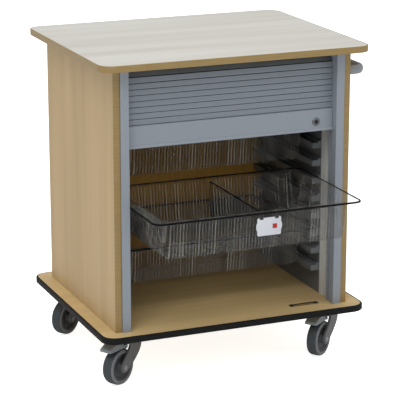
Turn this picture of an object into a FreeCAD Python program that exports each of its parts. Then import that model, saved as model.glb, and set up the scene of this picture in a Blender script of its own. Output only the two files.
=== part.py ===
import FreeCAD, Part
import math
import os

# Mobile tray storage unit with a roll-up tambour shutter, three pull-out trays and four casters.
# All sizes are in millimetres. X runs to the right, Y from the front to the back, Z up.
# The pieces are drawn with X = 0 on the middle of the body, Y = 0 on the front edge of its side
# panels and Z = 0 on the floor. They are exported with the origin under the middle of the whole unit.

# Body
BODY_WIDTH = 690.0
BODY_DEPTH = 544.0
BODY_HEIGHT = 720.0
BOARD_OVERHANG = 45.0
BOARD_THICKNESS = 18.0
BOARD_CORNER = 40.0
WORKTOP_BAND = 3.0
BUMPER_WIDTH = 6.0
BUMPER_ROUND = 3.0
PANEL_THICKNESS = 19.0
PANEL_BAND = 3.0
BAND_ROUND = 1.2
BACK_THICKNESS = 8.0
FALSE_BACK_THICKNESS = 6.0

# Tambour curtain and the tracks that carry it
SLAT_COUNT = 45
SLAT_PITCH = 16.0
SLAT_JOINT = 0.8
SLAT_THICKNESS = 7.0
SLAT_EDGE_ROUND = 0.8
SLAT_TAPER = 0.6
HINGE_THICKNESS = 1.0
CURTAIN_SETBACK = 27.0
BEND_RADIUS = 40.0
GROOVE_DEPTH = 10.0
GROOVE_CLEARANCE = 0.75
SLAT_END_CLEARANCE = 2.0
TRACK_WALL = 2.75
TRACK_REAR_LENGTH = 265.0
POST_WIDTH = 24.0
POST_DEPTH = 45.0
POST_PROUD = 5.0
POST_ROUND = 2.0

# Lock rail along the lower edge of the curtain
RAIL_LIFT = 500.0
RAIL_HEIGHT = 60.0
RAIL_DEPTH = 16.0
RAIL_WALL = 2.0
RAIL_LIP = 4.0
RAIL_LIP_HEIGHT = 3.0
RAIL_EDGE = 2.0
RAIL_END_CLEARANCE = 1.0
SEAT_GAP = 0.4
GLIDE_SLACK = 1.0

# Lock, its cam and the slot that the cam drops into
LOCK_INSET = 50.0
LOCK_HEIGHT = 25.0
LOCK_RADIUS = 10.0
LOCK_FLANGE_RADIUS = 11.5
LOCK_FLANGE_THICKNESS = 2.0
LOCK_BODY_LENGTH = 4.5
PLUG_RADIUS = 6.0
PLUG_CLEARANCE = 0.05
PLUG_PROUD = 0.3
KEY_SLOT_WIDTH = 1.6
KEY_SLOT_HEIGHT = 7.0
KEY_SLOT_DEPTH = 3.0
CAM_LENGTH = 36.0
CAM_WIDTH = 10.0
CAM_THICKNESS = 2.5
CAM_CLEARANCE = 3.0
STRIKE_OFFSET = 25.0
STRIKE_SLOT_LENGTH = 66.0
STRIKE_SLOT_WIDTH = 10.0
STRIKE_SLOT_DEPTH = 14.0
STRIKE_LENGTH = 88.0
STRIKE_WIDTH = 20.0
STRIKE_THICKNESS = 2.0

# Runner panels inside the body
LINER_SETBACK = 73.0
LINER_BACK_GAP = 16.0
LINER_TOP_GAP = 72.0
LINER_STANDOFF = 16.0
LINER_WALL = 3.0
RUNNER_COUNT = 11
RUNNER_PITCH = 51.2
RUNNER_FIRST = 85.0
RUNNER_REACH = 26.0
RUNNER_SETBACK = 29.0
RUNNER_HEIGHT = 16.0
RUNNER_THICKNESS = 3.0
GUIDE_HEIGHT = 5.0

# Trays
TRAY_SIDE_CLEARANCE = 10.0
TRAY_LENGTH = 400.0
TRAY_DEPTH = 108.0
TRAY_WALL = 2.0
TRAY_DRAFT = 5.0
TRAY_FLOOR_ROUND = 9.0
TRAY_CORNER = 22.0
RIM_THICKNESS = 4.0
RIM_CORNER = 25.0
RIM_SIDE = 33.0
RIM_FRONT = 20.0
RIM_REAR = 33.0
TRAY_SEAT_GAP = 0.3
TRAY_GUIDE_CLEARANCE = 2.0
TRAY_BACK_GAP = 8.0
TRAY_SLOTS = {"lower": 2, "middle": 5, "upper": 8}
MIDDLE_TRAY_PULL = 289.0

# Divider and label holder of the middle tray
DIVIDER_X = 5.0
DIVIDER_THICKNESS = 3.0
DIVIDER_BAR = 7.0
DIVIDER_BAR_HEIGHT = 6.0
DIVIDER_DROP = 3.0
DIVIDER_GAP = 0.3
LABEL_X = 20.0
LABEL_WIDTH = 68.0
LABEL_HEIGHT = 48.5
LABEL_DROP = 13.0
LABEL_THICKNESS = 2.0
LABEL_ROUND = 4.0
LABEL_NOTCH_WIDTH = 12.0
LABEL_NOTCH_DEPTH = 5.0
LABEL_EAR = 3.0
LABEL_EAR_HEIGHT = 22.0
LABEL_TAB = 12.5
LABEL_TAB_X = 16.0
LABEL_TAB_THICKNESS = 0.4
CLIP_SPACING = 44.0
CLIP_WIDTH = 9.0
CLIP_SHEET = 1.5
CLIP_GRIP = 12.0
CLIP_OVERLAP = 10.0

# Push handle on the right side panel
HANDLE_SECTION_WIDTH = 15.0
HANDLE_SECTION_HEIGHT = 25.0
HANDLE_PROJECTION = 60.0
HANDLE_DROP = 59.0
HANDLE_INSET = 20.0
HANDLE_BEND = 30.0

# Casters
CASTER_HEIGHT = 134.0
CASTER_HEAD = 34.0
CASTER_SIDE_INSET = 90.0
CASTER_FRONT_INSET = 84.0
CASTER_REAR_INSET = 104.0
CASTER_TRAIL = 38.0
CASTER_HEADINGS = {
    "front_left": 211.0,
    "front_right": 218.0,
    "rear_left": 214.0,
    "rear_right": 216.0,
}
PLATE_LENGTH = 92.0
PLATE_WIDTH = 66.0
PLATE_THICKNESS = 4.0
PLATE_CORNER = 8.0
BOLT_SPACING_LENGTH = 74.0
BOLT_SPACING_WIDTH = 48.0
BOLT_RADIUS = 3.5
BOLT_HEAD_RADIUS = 6.0
BOLT_HEAD_HEIGHT = 3.5
RACE_RADIUS = 26.0
RACE_HEIGHT = 10.0
RACE_GAP = 0.4
KINGPIN_RADIUS = 6.0
KINGPIN_HEAD_RADIUS = 9.0
KINGPIN_HEAD_HEIGHT = 4.0
RUNNING_CLEARANCE = 0.05
CROWN_RADIUS = 30.0
CROWN_THICKNESS = 8.0
CROWN_ROUND = 3.0
SHROUD_THICKNESS = 5.0
ARM_THICKNESS = 7.0
ARM_ROUND = 2.0
ARM_GAP = 3.0
ARM_BACK = 33.0
ARM_FRONT = 13.0
ARM_SHOULDER = 30.0
ARM_SWEEP = 24.0
ARM_END_RADIUS = 14.0
WHEEL_WIDTH = 32.0
TYRE_THICKNESS = 12.0
TYRE_ROUND = 6.0
TYRE_LAND = 1.5
CORE_RIM_WIDTH = 28.0
CORE_RIM_THICKNESS = 5.0
CORE_WEB_WIDTH = 20.0
CORE_HUB_RADIUS = 16.0
CORE_HUB_WIDTH = 36.0
AXLE_RADIUS = 5.0
AXLE_HEAD_RADIUS = 7.0
AXLE_HEAD_HEIGHT = 1.0

# Brake pedals of the two front casters
PEDAL_CASTERS = ("front_left", "front_right")
PEDAL_PIVOT_X = 22.0
PEDAL_PIVOT_GAP = 6.0
PEDAL_PIN_RADIUS = 2.5
PEDAL_EAR_RADIUS = 4.6
PEDAL_LUG_WIDTH = 16.0
PEDAL_LUG_GAP = 0.5
PEDAL_WIDTH = 36.0
PEDAL_WALL = 2.5
PEDAL_ROUND = 3.0
PEDAL_REACH = 92.0
PEDAL_NOSE = 74.0
PEDAL_HEEL = 34.0
PEDAL_HEIGHT = 20.0
PEDAL_LIP = 8.0
PEDAL_SHOE_GAP = 4.0
PEDAL_SHOE_LENGTH = 8.0

# Places worked out from the sizes above
HALF_BODY = BODY_WIDTH / 2
INNER_X = HALF_BODY - PANEL_THICKNESS
BASE_BOTTOM = CASTER_HEIGHT
BASE_TOP = BASE_BOTTOM + BOARD_THICKNESS
WORKTOP_BOTTOM = BASE_TOP + BODY_HEIGHT
WORKTOP_TOP = WORKTOP_BOTTOM + BOARD_THICKNESS
BOARD_FRONT = -BOARD_OVERHANG
BOARD_BACK = BODY_DEPTH + BOARD_OVERHANG
HALF_BOARD = HALF_BODY + BOARD_OVERHANG
POST_INNER_X = INNER_X - POST_WIDTH
HALF_SLAT = SLAT_THICKNESS / 2
HALF_GROOVE = HALF_SLAT + GROOVE_CLEARANCE
HALF_TRACK = HALF_GROOVE + TRACK_WALL
GROOVE_X = POST_INNER_X + GROOVE_DEPTH
CURTAIN_BACK_Y = BODY_DEPTH - BACK_THICKNESS - HALF_TRACK
BEND_Z = WORKTOP_BOTTOM - HALF_TRACK - BEND_RADIUS
RAIL_BOTTOM = BASE_TOP + RAIL_LIFT
RAIL_TOP = RAIL_BOTTOM + RAIL_HEIGHT
RAIL_HALF_LENGTH = POST_INNER_X - RAIL_END_CLEARANCE
RAIL_FRONT_Y = CURTAIN_SETBACK - RAIL_DEPTH / 2
RAIL_BACK_Y = CURTAIN_SETBACK + RAIL_DEPTH / 2
LOCK_Z = RAIL_BOTTOM + LOCK_HEIGHT
LOCK_BACK_Y = RAIL_FRONT_Y + LOCK_BODY_LENGTH
LINER_X = INNER_X - LINER_STANDOFF
FALSE_BACK_Y = BODY_DEPTH - BACK_THICKNESS - 2 * HALF_TRACK - FALSE_BACK_THICKNESS
TRAY_HALF_WIDTH = LINER_X - TRAY_SIDE_CLEARANCE
LINER_BACK = FALSE_BACK_Y - LINER_BACK_GAP
TRAY_SETBACK = FALSE_BACK_Y - TRAY_BACK_GAP - TRAY_LENGTH
LOCK_X = POST_INNER_X - LOCK_INSET
STRIKE_X = LOCK_X - STRIKE_OFFSET
LABEL_BACK_Y = TRAY_SETBACK - MIDDLE_TRAY_PULL - SEAT_GAP - CLIP_SHEET
WHEEL_RADIUS = (CASTER_HEIGHT - CASTER_HEAD) / 2
CROWN_TOP = CASTER_HEIGHT - PLATE_THICKNESS - RACE_HEIGHT - RACE_GAP
CROWN_BOTTOM = CROWN_TOP - CROWN_THICKNESS
ARM_INNER = WHEEL_WIDTH / 2 + ARM_GAP
ARM_OUTER = ARM_INNER + ARM_THICKNESS
PEDAL_PIVOT_Z = 2 * WHEEL_RADIUS + PEDAL_PIVOT_GAP


def vec(x, y, z):
    return FreeCAD.Vector(x, y, z)


def box(x0, x1, y0, y1, z0, z1):
    return Part.makeBox(x1 - x0, y1 - y0, z1 - z0, vec(x0, y0, z0))


def mirrored(shape):
    """The same piece on the left side of the body."""
    return shape.mirror(vec(0, 0, 0), vec(1, 0, 0))


def polygon_face(points):
    return Part.Face(Part.makePolygon(points + points[:1]))


def prism_x(outline, x0, x1):
    """An outline of (y, z) points carried along X."""
    return polygon_face([vec(x0, y, z) for y, z in outline]).extrude(vec(x1 - x0, 0, 0))


def prism_y(outline, y0, y1):
    """An outline of (x, z) points carried along Y."""
    return polygon_face([vec(x, y0, z) for x, z in outline]).extrude(vec(0, y1 - y0, 0))


def rod_y(x, z, radius, y0, y1):
    return Part.makeCylinder(radius, y1 - y0, vec(x, y0, z), vec(0, 1, 0))


def rod_z(x, y, radius, z0, z1):
    return Part.makeCylinder(radius, z1 - z0, vec(x, y, z0))


def rounded_wire(x0, x1, y0, y1, radius, z):
    """A rectangle with round corners, at height z."""
    slant = radius * (1 - math.sqrt(0.5))
    edges = []
    corners = [(x0, y0, 1, 1), (x1, y0, -1, 1), (x1, y1, -1, -1), (x0, y1, 1, -1)]
    ends = []
    for number, (x, y, sx, sy) in enumerate(corners):
        along_y = vec(x, y + sy * radius, z)
        along_x = vec(x + sx * radius, y, z)
        middle = vec(x + sx * slant, y + sy * slant, z)
        first, last = (along_y, along_x) if number % 2 == 0 else (along_x, along_y)
        edges.append(Part.Arc(first, middle, last).toShape())
        ends.append((first, last))
    for number in range(4):
        start = ends[number][1]
        stop = ends[(number + 1) % 4][0]
        edges.insert(2 * number + 1, Part.makeLine(start, stop))
    return Part.Wire(edges)


def rounded_plate(x0, x1, y0, y1, radius, z0, z1):
    return Part.Face(rounded_wire(x0, x1, y0, y1, radius, z0)).extrude(vec(0, 0, z1 - z0))


def edges_at(shape, test):
    """The edges whose two ends pass a test on their points."""
    return [edge for edge in shape.Edges if all(test(vertex.Point) for vertex in edge.Vertexes)]


def near(a, b):
    return abs(a - b) < 1e-4


# Body ------------------------------------------------------------------------------------------


def board(inset, z0):
    """The outline that the worktop and the base share, drawn in by an inset."""
    return rounded_plate(
        -HALF_BOARD + inset,
        HALF_BOARD - inset,
        BOARD_FRONT + inset,
        BOARD_BACK - inset,
        BOARD_CORNER - inset,
        z0,
        z0 + BOARD_THICKNESS,
    )


def worktop():
    return board(WORKTOP_BAND, WORKTOP_BOTTOM)


def board_rim(z0, width, rounding):
    """A band round a board, with its outer edges rounded."""
    outer = board(0, z0)
    levels = (z0, z0 + BOARD_THICKNESS)
    rims = edges_at(outer, lambda p: near(p.z, levels[0])) + edges_at(outer, lambda p: near(p.z, levels[1]))
    return outer.makeFillet(rounding, rims).cut(board(width, z0))


def worktop_edging():
    return board_rim(WORKTOP_BOTTOM, WORKTOP_BAND, BAND_ROUND)


def base_bumper():
    return board_rim(BASE_BOTTOM, BUMPER_WIDTH, BUMPER_ROUND)


def strike_block(length, width, depth):
    """A block let into the top of the base, under the lock rail."""
    return box(
        STRIKE_X - length / 2,
        STRIKE_X + length / 2,
        CURTAIN_SETBACK - width / 2,
        CURTAIN_SETBACK + width / 2,
        BASE_TOP - depth,
        BASE_TOP,
    )


def strike_slot():
    return strike_block(STRIKE_SLOT_LENGTH, STRIKE_SLOT_WIDTH, STRIKE_SLOT_DEPTH)


def strike_plate():
    return strike_block(STRIKE_LENGTH, STRIKE_WIDTH, STRIKE_THICKNESS).cut(strike_slot())


def base_board():
    recess = strike_block(STRIKE_LENGTH, STRIKE_WIDTH, STRIKE_THICKNESS)
    return board(BUMPER_WIDTH, BASE_BOTTOM).cut([recess, strike_slot()])


def side_panel():
    return box(INNER_X, HALF_BODY, PANEL_BAND, BODY_DEPTH, BASE_TOP, WORKTOP_BOTTOM)


def panel_edging():
    band = box(INNER_X, HALF_BODY, 0, PANEL_BAND, BASE_TOP, WORKTOP_BOTTOM)
    fronts = edges_at(band, lambda p: near(p.y, 0))
    uprights = [edge for edge in fronts if edge.Length > PANEL_THICKNESS]
    return band.makeFillet(BAND_ROUND, uprights)


def back_panel():
    return box(-INNER_X, INNER_X, BODY_DEPTH - BACK_THICKNESS, BODY_DEPTH, BASE_TOP, WORKTOP_BOTTOM)


def false_back():
    back = FALSE_BACK_Y + FALSE_BACK_THICKNESS
    return box(-INNER_X, INNER_X, FALSE_BACK_Y, back, BASE_TOP, BEND_Z)


# Curtain and tracks ----------------------------------------------------------------------------


def bend_arc(x, centre_y, radius, front):
    """A quarter circle of the curtain's path, at the front or at the back."""
    side = -1 if front else 1
    slant = radius * math.sqrt(0.5)
    low = vec(x, centre_y + side * radius, BEND_Z)
    middle = vec(x, centre_y + side * slant, BEND_Z + slant)
    top = vec(x, centre_y, BEND_Z + radius)
    ends = (low, top) if front else (top, low)
    return ends[0], Part.Arc(ends[0], middle, ends[1]).toShape(), ends[1]


def curtain_band(half, x0, x1, front_z, rear_z):
    """A band of twice the half thickness along the curtain's path, from X0 to X1."""
    front_y = CURTAIN_SETBACK + BEND_RADIUS
    rear_y = CURTAIN_BACK_Y - BEND_RADIUS
    sides = []
    for radius in (BEND_RADIUS + half, BEND_RADIUS - half):
        start, front_arc, front_end = bend_arc(x0, front_y, radius, True)
        rear_start, rear_arc, end = bend_arc(x0, rear_y, radius, False)
        foot = vec(x0, start.y, front_z)
        tail = vec(x0, end.y, rear_z)
        top = Part.makeLine(front_end, rear_start)
        sides.append((foot, [Part.makeLine(foot, start), front_arc, top, rear_arc, Part.makeLine(end, tail)], tail))
    (foot_out, outer, tail_out), (foot_in, inner, tail_in) = sides
    wire = outer + [Part.makeLine(tail_out, tail_in)] + inner[::-1] + [Part.makeLine(foot_in, foot_out)]
    return Part.Face(Part.Wire(Part.__sortEdges__(wire))).extrude(vec(x1 - x0, 0, 0))


def curtain_groove():
    return curtain_band(HALF_GROOVE, POST_INNER_X, GROOVE_X, BASE_TOP, BEND_Z - TRACK_REAR_LENGTH)


def track_post():
    back = POST_DEPTH - POST_PROUD
    post = box(POST_INNER_X, INNER_X, -POST_PROUD, back, BASE_TOP, WORKTOP_BOTTOM)
    fronts = edges_at(post, lambda p: near(p.y, -POST_PROUD))
    uprights = [edge for edge in fronts if edge.Length > POST_WIDTH]
    return post.makeFillet(POST_ROUND, uprights).cut(curtain_groove())


def curtain_track():
    """The channel that leads the slats back under the worktop and down behind the false back."""
    band = curtain_band(HALF_TRACK, POST_INNER_X, INNER_X, BASE_TOP, BEND_Z - TRACK_REAR_LENGTH)
    post_space = box(POST_INNER_X, INNER_X, -POST_PROUD, POST_DEPTH - POST_PROUD, BASE_TOP, WORKTOP_BOTTOM)
    return band.cut([curtain_groove(), post_space])


def on_curtain(distance):
    """The (y, z) point and the direction angle of the path, measured up from the rail's top."""
    straight = BEND_Z - RAIL_TOP
    quarter = BEND_RADIUS * math.pi / 2
    top = CURTAIN_BACK_Y - CURTAIN_SETBACK - 2 * BEND_RADIUS
    if distance < straight:
        return CURTAIN_SETBACK, RAIL_TOP + distance, math.pi / 2
    distance -= straight
    if distance < quarter:
        turn = distance / BEND_RADIUS
        y = CURTAIN_SETBACK + BEND_RADIUS * (1 - math.cos(turn))
        return y, BEND_Z + BEND_RADIUS * math.sin(turn), math.pi / 2 - turn
    distance -= quarter
    if distance < top:
        return CURTAIN_SETBACK + BEND_RADIUS + distance, BEND_Z + BEND_RADIUS, 0.0
    distance -= top
    if distance < quarter:
        turn = distance / BEND_RADIUS
        y = CURTAIN_BACK_Y - BEND_RADIUS * (1 - math.sin(turn))
        return y, BEND_Z + BEND_RADIUS * math.cos(turn), -turn
    return CURTAIN_BACK_Y, BEND_Z - (distance - quarter), -math.pi / 2


def slat_points(number, profile):
    """A slat's (along, out) points as (y, z) points on the path."""
    y, z, angle = on_curtain(SEAT_GAP + (number + 0.5) * SLAT_PITCH)
    along = (math.cos(angle), math.sin(angle))
    out = (-math.sin(angle), math.cos(angle))
    return [(y + u * along[0] + n * out[0], z + u * along[1] + n * out[1]) for u, n in profile]


def tambour_slats():
    """Slats joined by thin hinges on their inner side."""
    front = (SLAT_PITCH - SLAT_JOINT) / 2
    back = front - SLAT_TAPER
    hinge = -HALF_SLAT + HINGE_THICKNESS
    shoulder = HALF_SLAT - SLAT_EDGE_ROUND
    flat = front - SLAT_EDGE_ROUND
    outside = [(-back, hinge), (-front, shoulder), (-flat, HALF_SLAT)]
    outside += [(-u, n) for u, n in reversed(outside)]
    inside = [(back, -HALF_SLAT), (-back, -HALF_SLAT)]
    going = []
    coming = []
    for number in range(SLAT_COUNT):
        going += slat_points(number, outside)
        coming = slat_points(number, inside) + coming
    half_length = GROOVE_X - SLAT_END_CLEARANCE
    return prism_x(going + coming, -half_length, half_length)


# Lock rail and lock ----------------------------------------------------------------------------


def rail_outline(inset):
    """The rail's section, with a lip along its lower front edge, drawn in by an inset."""
    front = RAIL_FRONT_Y + inset
    back = RAIL_BACK_Y - inset
    bottom = RAIL_BOTTOM + inset
    top = RAIL_TOP - inset
    outline = [(front, top - RAIL_EDGE), (front + RAIL_EDGE, top), (back - RAIL_EDGE, top)]
    outline += [(back, top - RAIL_EDGE), (back, bottom)]
    if inset:
        return outline + [(front, bottom)]
    tip = front - RAIL_LIP
    slope = bottom + RAIL_LIP_HEIGHT + RAIL_LIP
    return outline + [(tip, bottom), (tip, bottom + RAIL_LIP_HEIGHT), (front, slope)]


def cam_slot():
    """The way out through the rail's lower wall that the cam swings through."""
    reach = LOCK_X - math.sqrt(CAM_LENGTH**2 - (LOCK_HEIGHT - RAIL_WALL) ** 2)
    return box(
        reach - CAM_WIDTH,
        LOCK_X + CAM_WIDTH / 2 + CAM_CLEARANCE,
        LOCK_BACK_Y - CAM_CLEARANCE / 2,
        LOCK_BACK_Y + CAM_THICKNESS + CAM_CLEARANCE,
        RAIL_BOTTOM,
        RAIL_BOTTOM + RAIL_WALL,
    )


def lock_rail():
    solid = prism_x(rail_outline(0), -RAIL_HALF_LENGTH, RAIL_HALF_LENGTH)
    hollow = prism_x(rail_outline(RAIL_WALL), -RAIL_HALF_LENGTH, RAIL_HALF_LENGTH)
    lock_hole = rod_y(LOCK_X, LOCK_Z, LOCK_RADIUS, RAIL_FRONT_Y, RAIL_FRONT_Y + RAIL_WALL)
    return solid.cut([hollow, lock_hole, cam_slot()])


def rail_end_glides():
    tip = GROOVE_X - GLIDE_SLACK
    right = box(
        RAIL_HALF_LENGTH,
        tip,
        CURTAIN_SETBACK - HALF_SLAT,
        CURTAIN_SETBACK + HALF_SLAT,
        RAIL_BOTTOM + RAIL_WALL,
        RAIL_TOP - RAIL_WALL,
    )
    return Part.makeCompound([right, mirrored(right)])


def lock_housing():
    front = RAIL_FRONT_Y - LOCK_FLANGE_THICKNESS
    barrel = rod_y(LOCK_X, LOCK_Z, LOCK_RADIUS, RAIL_FRONT_Y, LOCK_BACK_Y)
    flange = rod_y(LOCK_X, LOCK_Z, LOCK_FLANGE_RADIUS, front, RAIL_FRONT_Y)
    rim = edges_at(flange, lambda p: near(p.y, front))
    bore = rod_y(LOCK_X, LOCK_Z, PLUG_RADIUS + PLUG_CLEARANCE, front, LOCK_BACK_Y)
    return flange.makeChamfer(1.0, rim[:1]).fuse(barrel).cut(bore).removeSplitter()


def lock_plug():
    front = RAIL_FRONT_Y - LOCK_FLANGE_THICKNESS - PLUG_PROUD
    back = LOCK_BACK_Y + SEAT_GAP + CAM_THICKNESS
    plug = rod_y(LOCK_X, LOCK_Z, PLUG_RADIUS, front, back)
    slot = box(
        LOCK_X - KEY_SLOT_WIDTH / 2,
        LOCK_X + KEY_SLOT_WIDTH / 2,
        front,
        front + KEY_SLOT_DEPTH,
        LOCK_Z - KEY_SLOT_HEIGHT / 2,
        LOCK_Z + KEY_SLOT_HEIGHT / 2,
    )
    return plug.cut(slot)


def lock_cam():
    """A lever on the plug's inner end, lying along the rail while the lock is open."""
    front = LOCK_BACK_Y + SEAT_GAP
    back = front + CAM_THICKNESS
    half = CAM_WIDTH / 2
    tip = LOCK_X - CAM_LENGTH + half
    arm = box(tip, LOCK_X, front, back, LOCK_Z - half, LOCK_Z + half)
    end = rod_y(tip, LOCK_Z, half, front, back)
    boss = rod_y(LOCK_X, LOCK_Z, PLUG_RADIUS + RAIL_WALL, front, back)
    hole = rod_y(LOCK_X, LOCK_Z, PLUG_RADIUS, front, back)
    return arm.fuse([end, boss]).cut(hole).removeSplitter()


# Runner panels ---------------------------------------------------------------------------------


def tray_liner():
    """A moulded panel that stands off the side panel on its rim."""
    back = LINER_BACK
    top = WORKTOP_BOTTOM - LINER_TOP_GAP
    shell = box(LINER_X, INNER_X, LINER_SETBACK, back, BASE_TOP, top)
    hollow = box(
        LINER_X + LINER_WALL,
        INNER_X,
        LINER_SETBACK + LINER_WALL,
        back - LINER_WALL,
        BASE_TOP + LINER_WALL,
        top - LINER_WALL,
    )
    return shell.cut(hollow)


def runner_top(number):
    return BASE_TOP + RUNNER_FIRST + number * RUNNER_PITCH


def runner(number):
    """A channel that carries a tray's rim, closed at its front, with an upstand that guides the rim."""
    top = runner_top(number)
    bottom = top - RUNNER_HEIGHT
    tip = LINER_X - RUNNER_REACH
    front = LINER_SETBACK + RUNNER_SETBACK
    guide = TRAY_HALF_WIDTH + TRAY_GUIDE_CLEARANCE
    section = [
        (tip, top),
        (tip, bottom),
        (LINER_X, bottom),
        (LINER_X, top + GUIDE_HEIGHT),
        (guide, top + GUIDE_HEIGHT),
        (guide, top),
    ]
    hollow = box(
        tip + RUNNER_THICKNESS,
        LINER_X,
        front + RUNNER_THICKNESS,
        LINER_BACK,
        bottom,
        top - RUNNER_THICKNESS,
    )
    return prism_y(section, front, LINER_BACK).cut(hollow)


def tray_runners():
    return Part.makeCompound([runner(number) for number in range(RUNNER_COUNT)])


# Trays -----------------------------------------------------------------------------------------


def rim_top(slot):
    return runner_top(slot) + TRAY_SEAT_GAP + RIM_THICKNESS


def tray_front(name):
    pull = MIDDLE_TRAY_PULL if name == "middle" else 0.0
    return TRAY_SETBACK - pull


def tub(front, top, wall, floor_z):
    """The tray's tapered tub, drawn in by a wall, from its rounded floor up to the rim's top."""
    height = TRAY_DEPTH - (floor_z - (top - TRAY_DEPTH))
    round_part = TRAY_FLOOR_ROUND
    levels = [(0.0, TRAY_DRAFT + round_part * 0.8), (0.25, TRAY_DRAFT + round_part * 0.25), (1.0, TRAY_DRAFT)]
    wires = []
    for share, inset in levels + [(None, 0.0)]:
        z = top if share is None else floor_z + share * round_part
        inset += wall
        wires.append(
            rounded_wire(
                -TRAY_HALF_WIDTH + RIM_SIDE + inset,
                TRAY_HALF_WIDTH - RIM_SIDE - inset,
                front + RIM_FRONT + inset,
                front + TRAY_LENGTH - RIM_REAR - inset,
                TRAY_CORNER - wall,
                z,
            )
        )
    return Part.makeLoft(wires, True, True)


def tray(name):
    front = tray_front(name)
    top = rim_top(TRAY_SLOTS[name])
    rim = rounded_plate(
        -TRAY_HALF_WIDTH,
        TRAY_HALF_WIDTH,
        front,
        front + TRAY_LENGTH,
        RIM_CORNER,
        top - RIM_THICKNESS,
        top,
    )
    outside = tub(front, top, 0.0, top - TRAY_DEPTH)
    inside = tub(front, top, TRAY_WALL, top - TRAY_DEPTH + TRAY_WALL)
    return rim.fuse(outside).cut(inside).removeSplitter()


def tray_divider():
    """A sheet across the middle tray from front to back, with a thicker bar along its top."""
    top = rim_top(TRAY_SLOTS["middle"]) - DIVIDER_DROP
    floor = rim_top(TRAY_SLOTS["middle"]) - TRAY_DEPTH + TRAY_WALL
    inset = TRAY_WALL + DIVIDER_GAP
    front = tray_front("middle") + RIM_FRONT + inset
    back = tray_front("middle") + TRAY_LENGTH - RIM_REAR - inset
    low = TRAY_DRAFT + TRAY_FLOOR_ROUND
    outline = [
        (front + TRAY_DRAFT, top),
        (front + TRAY_DRAFT, floor + TRAY_FLOOR_ROUND),
        (front + low, floor),
        (back - low, floor),
        (back - TRAY_DRAFT, floor + TRAY_FLOOR_ROUND),
        (back - TRAY_DRAFT, top),
    ]
    half = DIVIDER_THICKNESS / 2
    sheet = prism_x(outline, DIVIDER_X - half, DIVIDER_X + half)
    bar = box(
        DIVIDER_X - DIVIDER_BAR / 2,
        DIVIDER_X + DIVIDER_BAR / 2,
        front + TRAY_DRAFT,
        back - TRAY_DRAFT,
        top - DIVIDER_BAR_HEIGHT,
        top,
    )
    return sheet.fuse(bar).removeSplitter()


def label_holder():
    """A plate with two notches for its clips and a small ear on each side."""
    top = rim_top(TRAY_SLOTS["middle"]) - LABEL_DROP
    bottom = top - LABEL_HEIGHT
    middle = (top + bottom) / 2
    half = LABEL_WIDTH / 2
    front = LABEL_BACK_Y - LABEL_THICKNESS
    plate = box(LABEL_X - half, LABEL_X + half, front, LABEL_BACK_Y, bottom, top)
    corners = [edge for edge in plate.Edges if near(edge.Length, LABEL_THICKNESS)]
    plate = plate.makeFillet(LABEL_ROUND, corners)
    for side in (-1, 1):
        edge = LABEL_X + side * half
        ear = [
            (edge, middle + LABEL_EAR_HEIGHT / 2),
            (edge + side * LABEL_EAR, middle + LABEL_EAR_HEIGHT / 4),
            (edge + side * LABEL_EAR, middle - LABEL_EAR_HEIGHT / 4),
            (edge, middle - LABEL_EAR_HEIGHT / 2),
        ]
        plate = plate.fuse(prism_y(ear, front, LABEL_BACK_Y))
        clip = LABEL_X + side * CLIP_SPACING / 2
        notch = LABEL_NOTCH_WIDTH / 2
        plate = plate.cut(box(clip - notch, clip + notch, front, LABEL_BACK_Y, top - LABEL_NOTCH_DEPTH, top))
    return plate.removeSplitter()


def label_tab():
    middle = rim_top(TRAY_SLOTS["middle"]) - LABEL_DROP - LABEL_HEIGHT / 2
    front = LABEL_BACK_Y - LABEL_THICKNESS
    x = LABEL_X + LABEL_TAB_X
    half = LABEL_TAB / 2
    return box(x - half, x + half, front - LABEL_TAB_THICKNESS, front, middle - half, middle + half)


def label_clips():
    """Two clips that grip the rim's front edge and hold the plate behind its notches."""
    top = rim_top(TRAY_SLOTS["middle"])
    rim_front = tray_front("middle")
    back = LABEL_BACK_Y + CLIP_SHEET
    upper = top + TRAY_SEAT_GAP
    lower = top - RIM_THICKNESS - TRAY_SEAT_GAP
    section = [
        (LABEL_BACK_Y, upper + CLIP_SHEET),
        (rim_front + CLIP_GRIP, upper + CLIP_SHEET),
        (rim_front + CLIP_GRIP, upper),
        (back, upper),
        (back, lower),
        (rim_front + CLIP_GRIP, lower),
        (rim_front + CLIP_GRIP, lower - CLIP_SHEET),
        (back, lower - CLIP_SHEET),
        (back, top - LABEL_DROP - LABEL_NOTCH_DEPTH - CLIP_OVERLAP),
        (LABEL_BACK_Y, top - LABEL_DROP - LABEL_NOTCH_DEPTH - CLIP_OVERLAP),
    ]
    clips = []
    for side in (-1, 1):
        x = LABEL_X + side * CLIP_SPACING / 2
        clips.append(prism_x(section, x - CLIP_WIDTH / 2, x + CLIP_WIDTH / 2))
    return Part.makeCompound(clips)


# Push handle -----------------------------------------------------------------------------------


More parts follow.
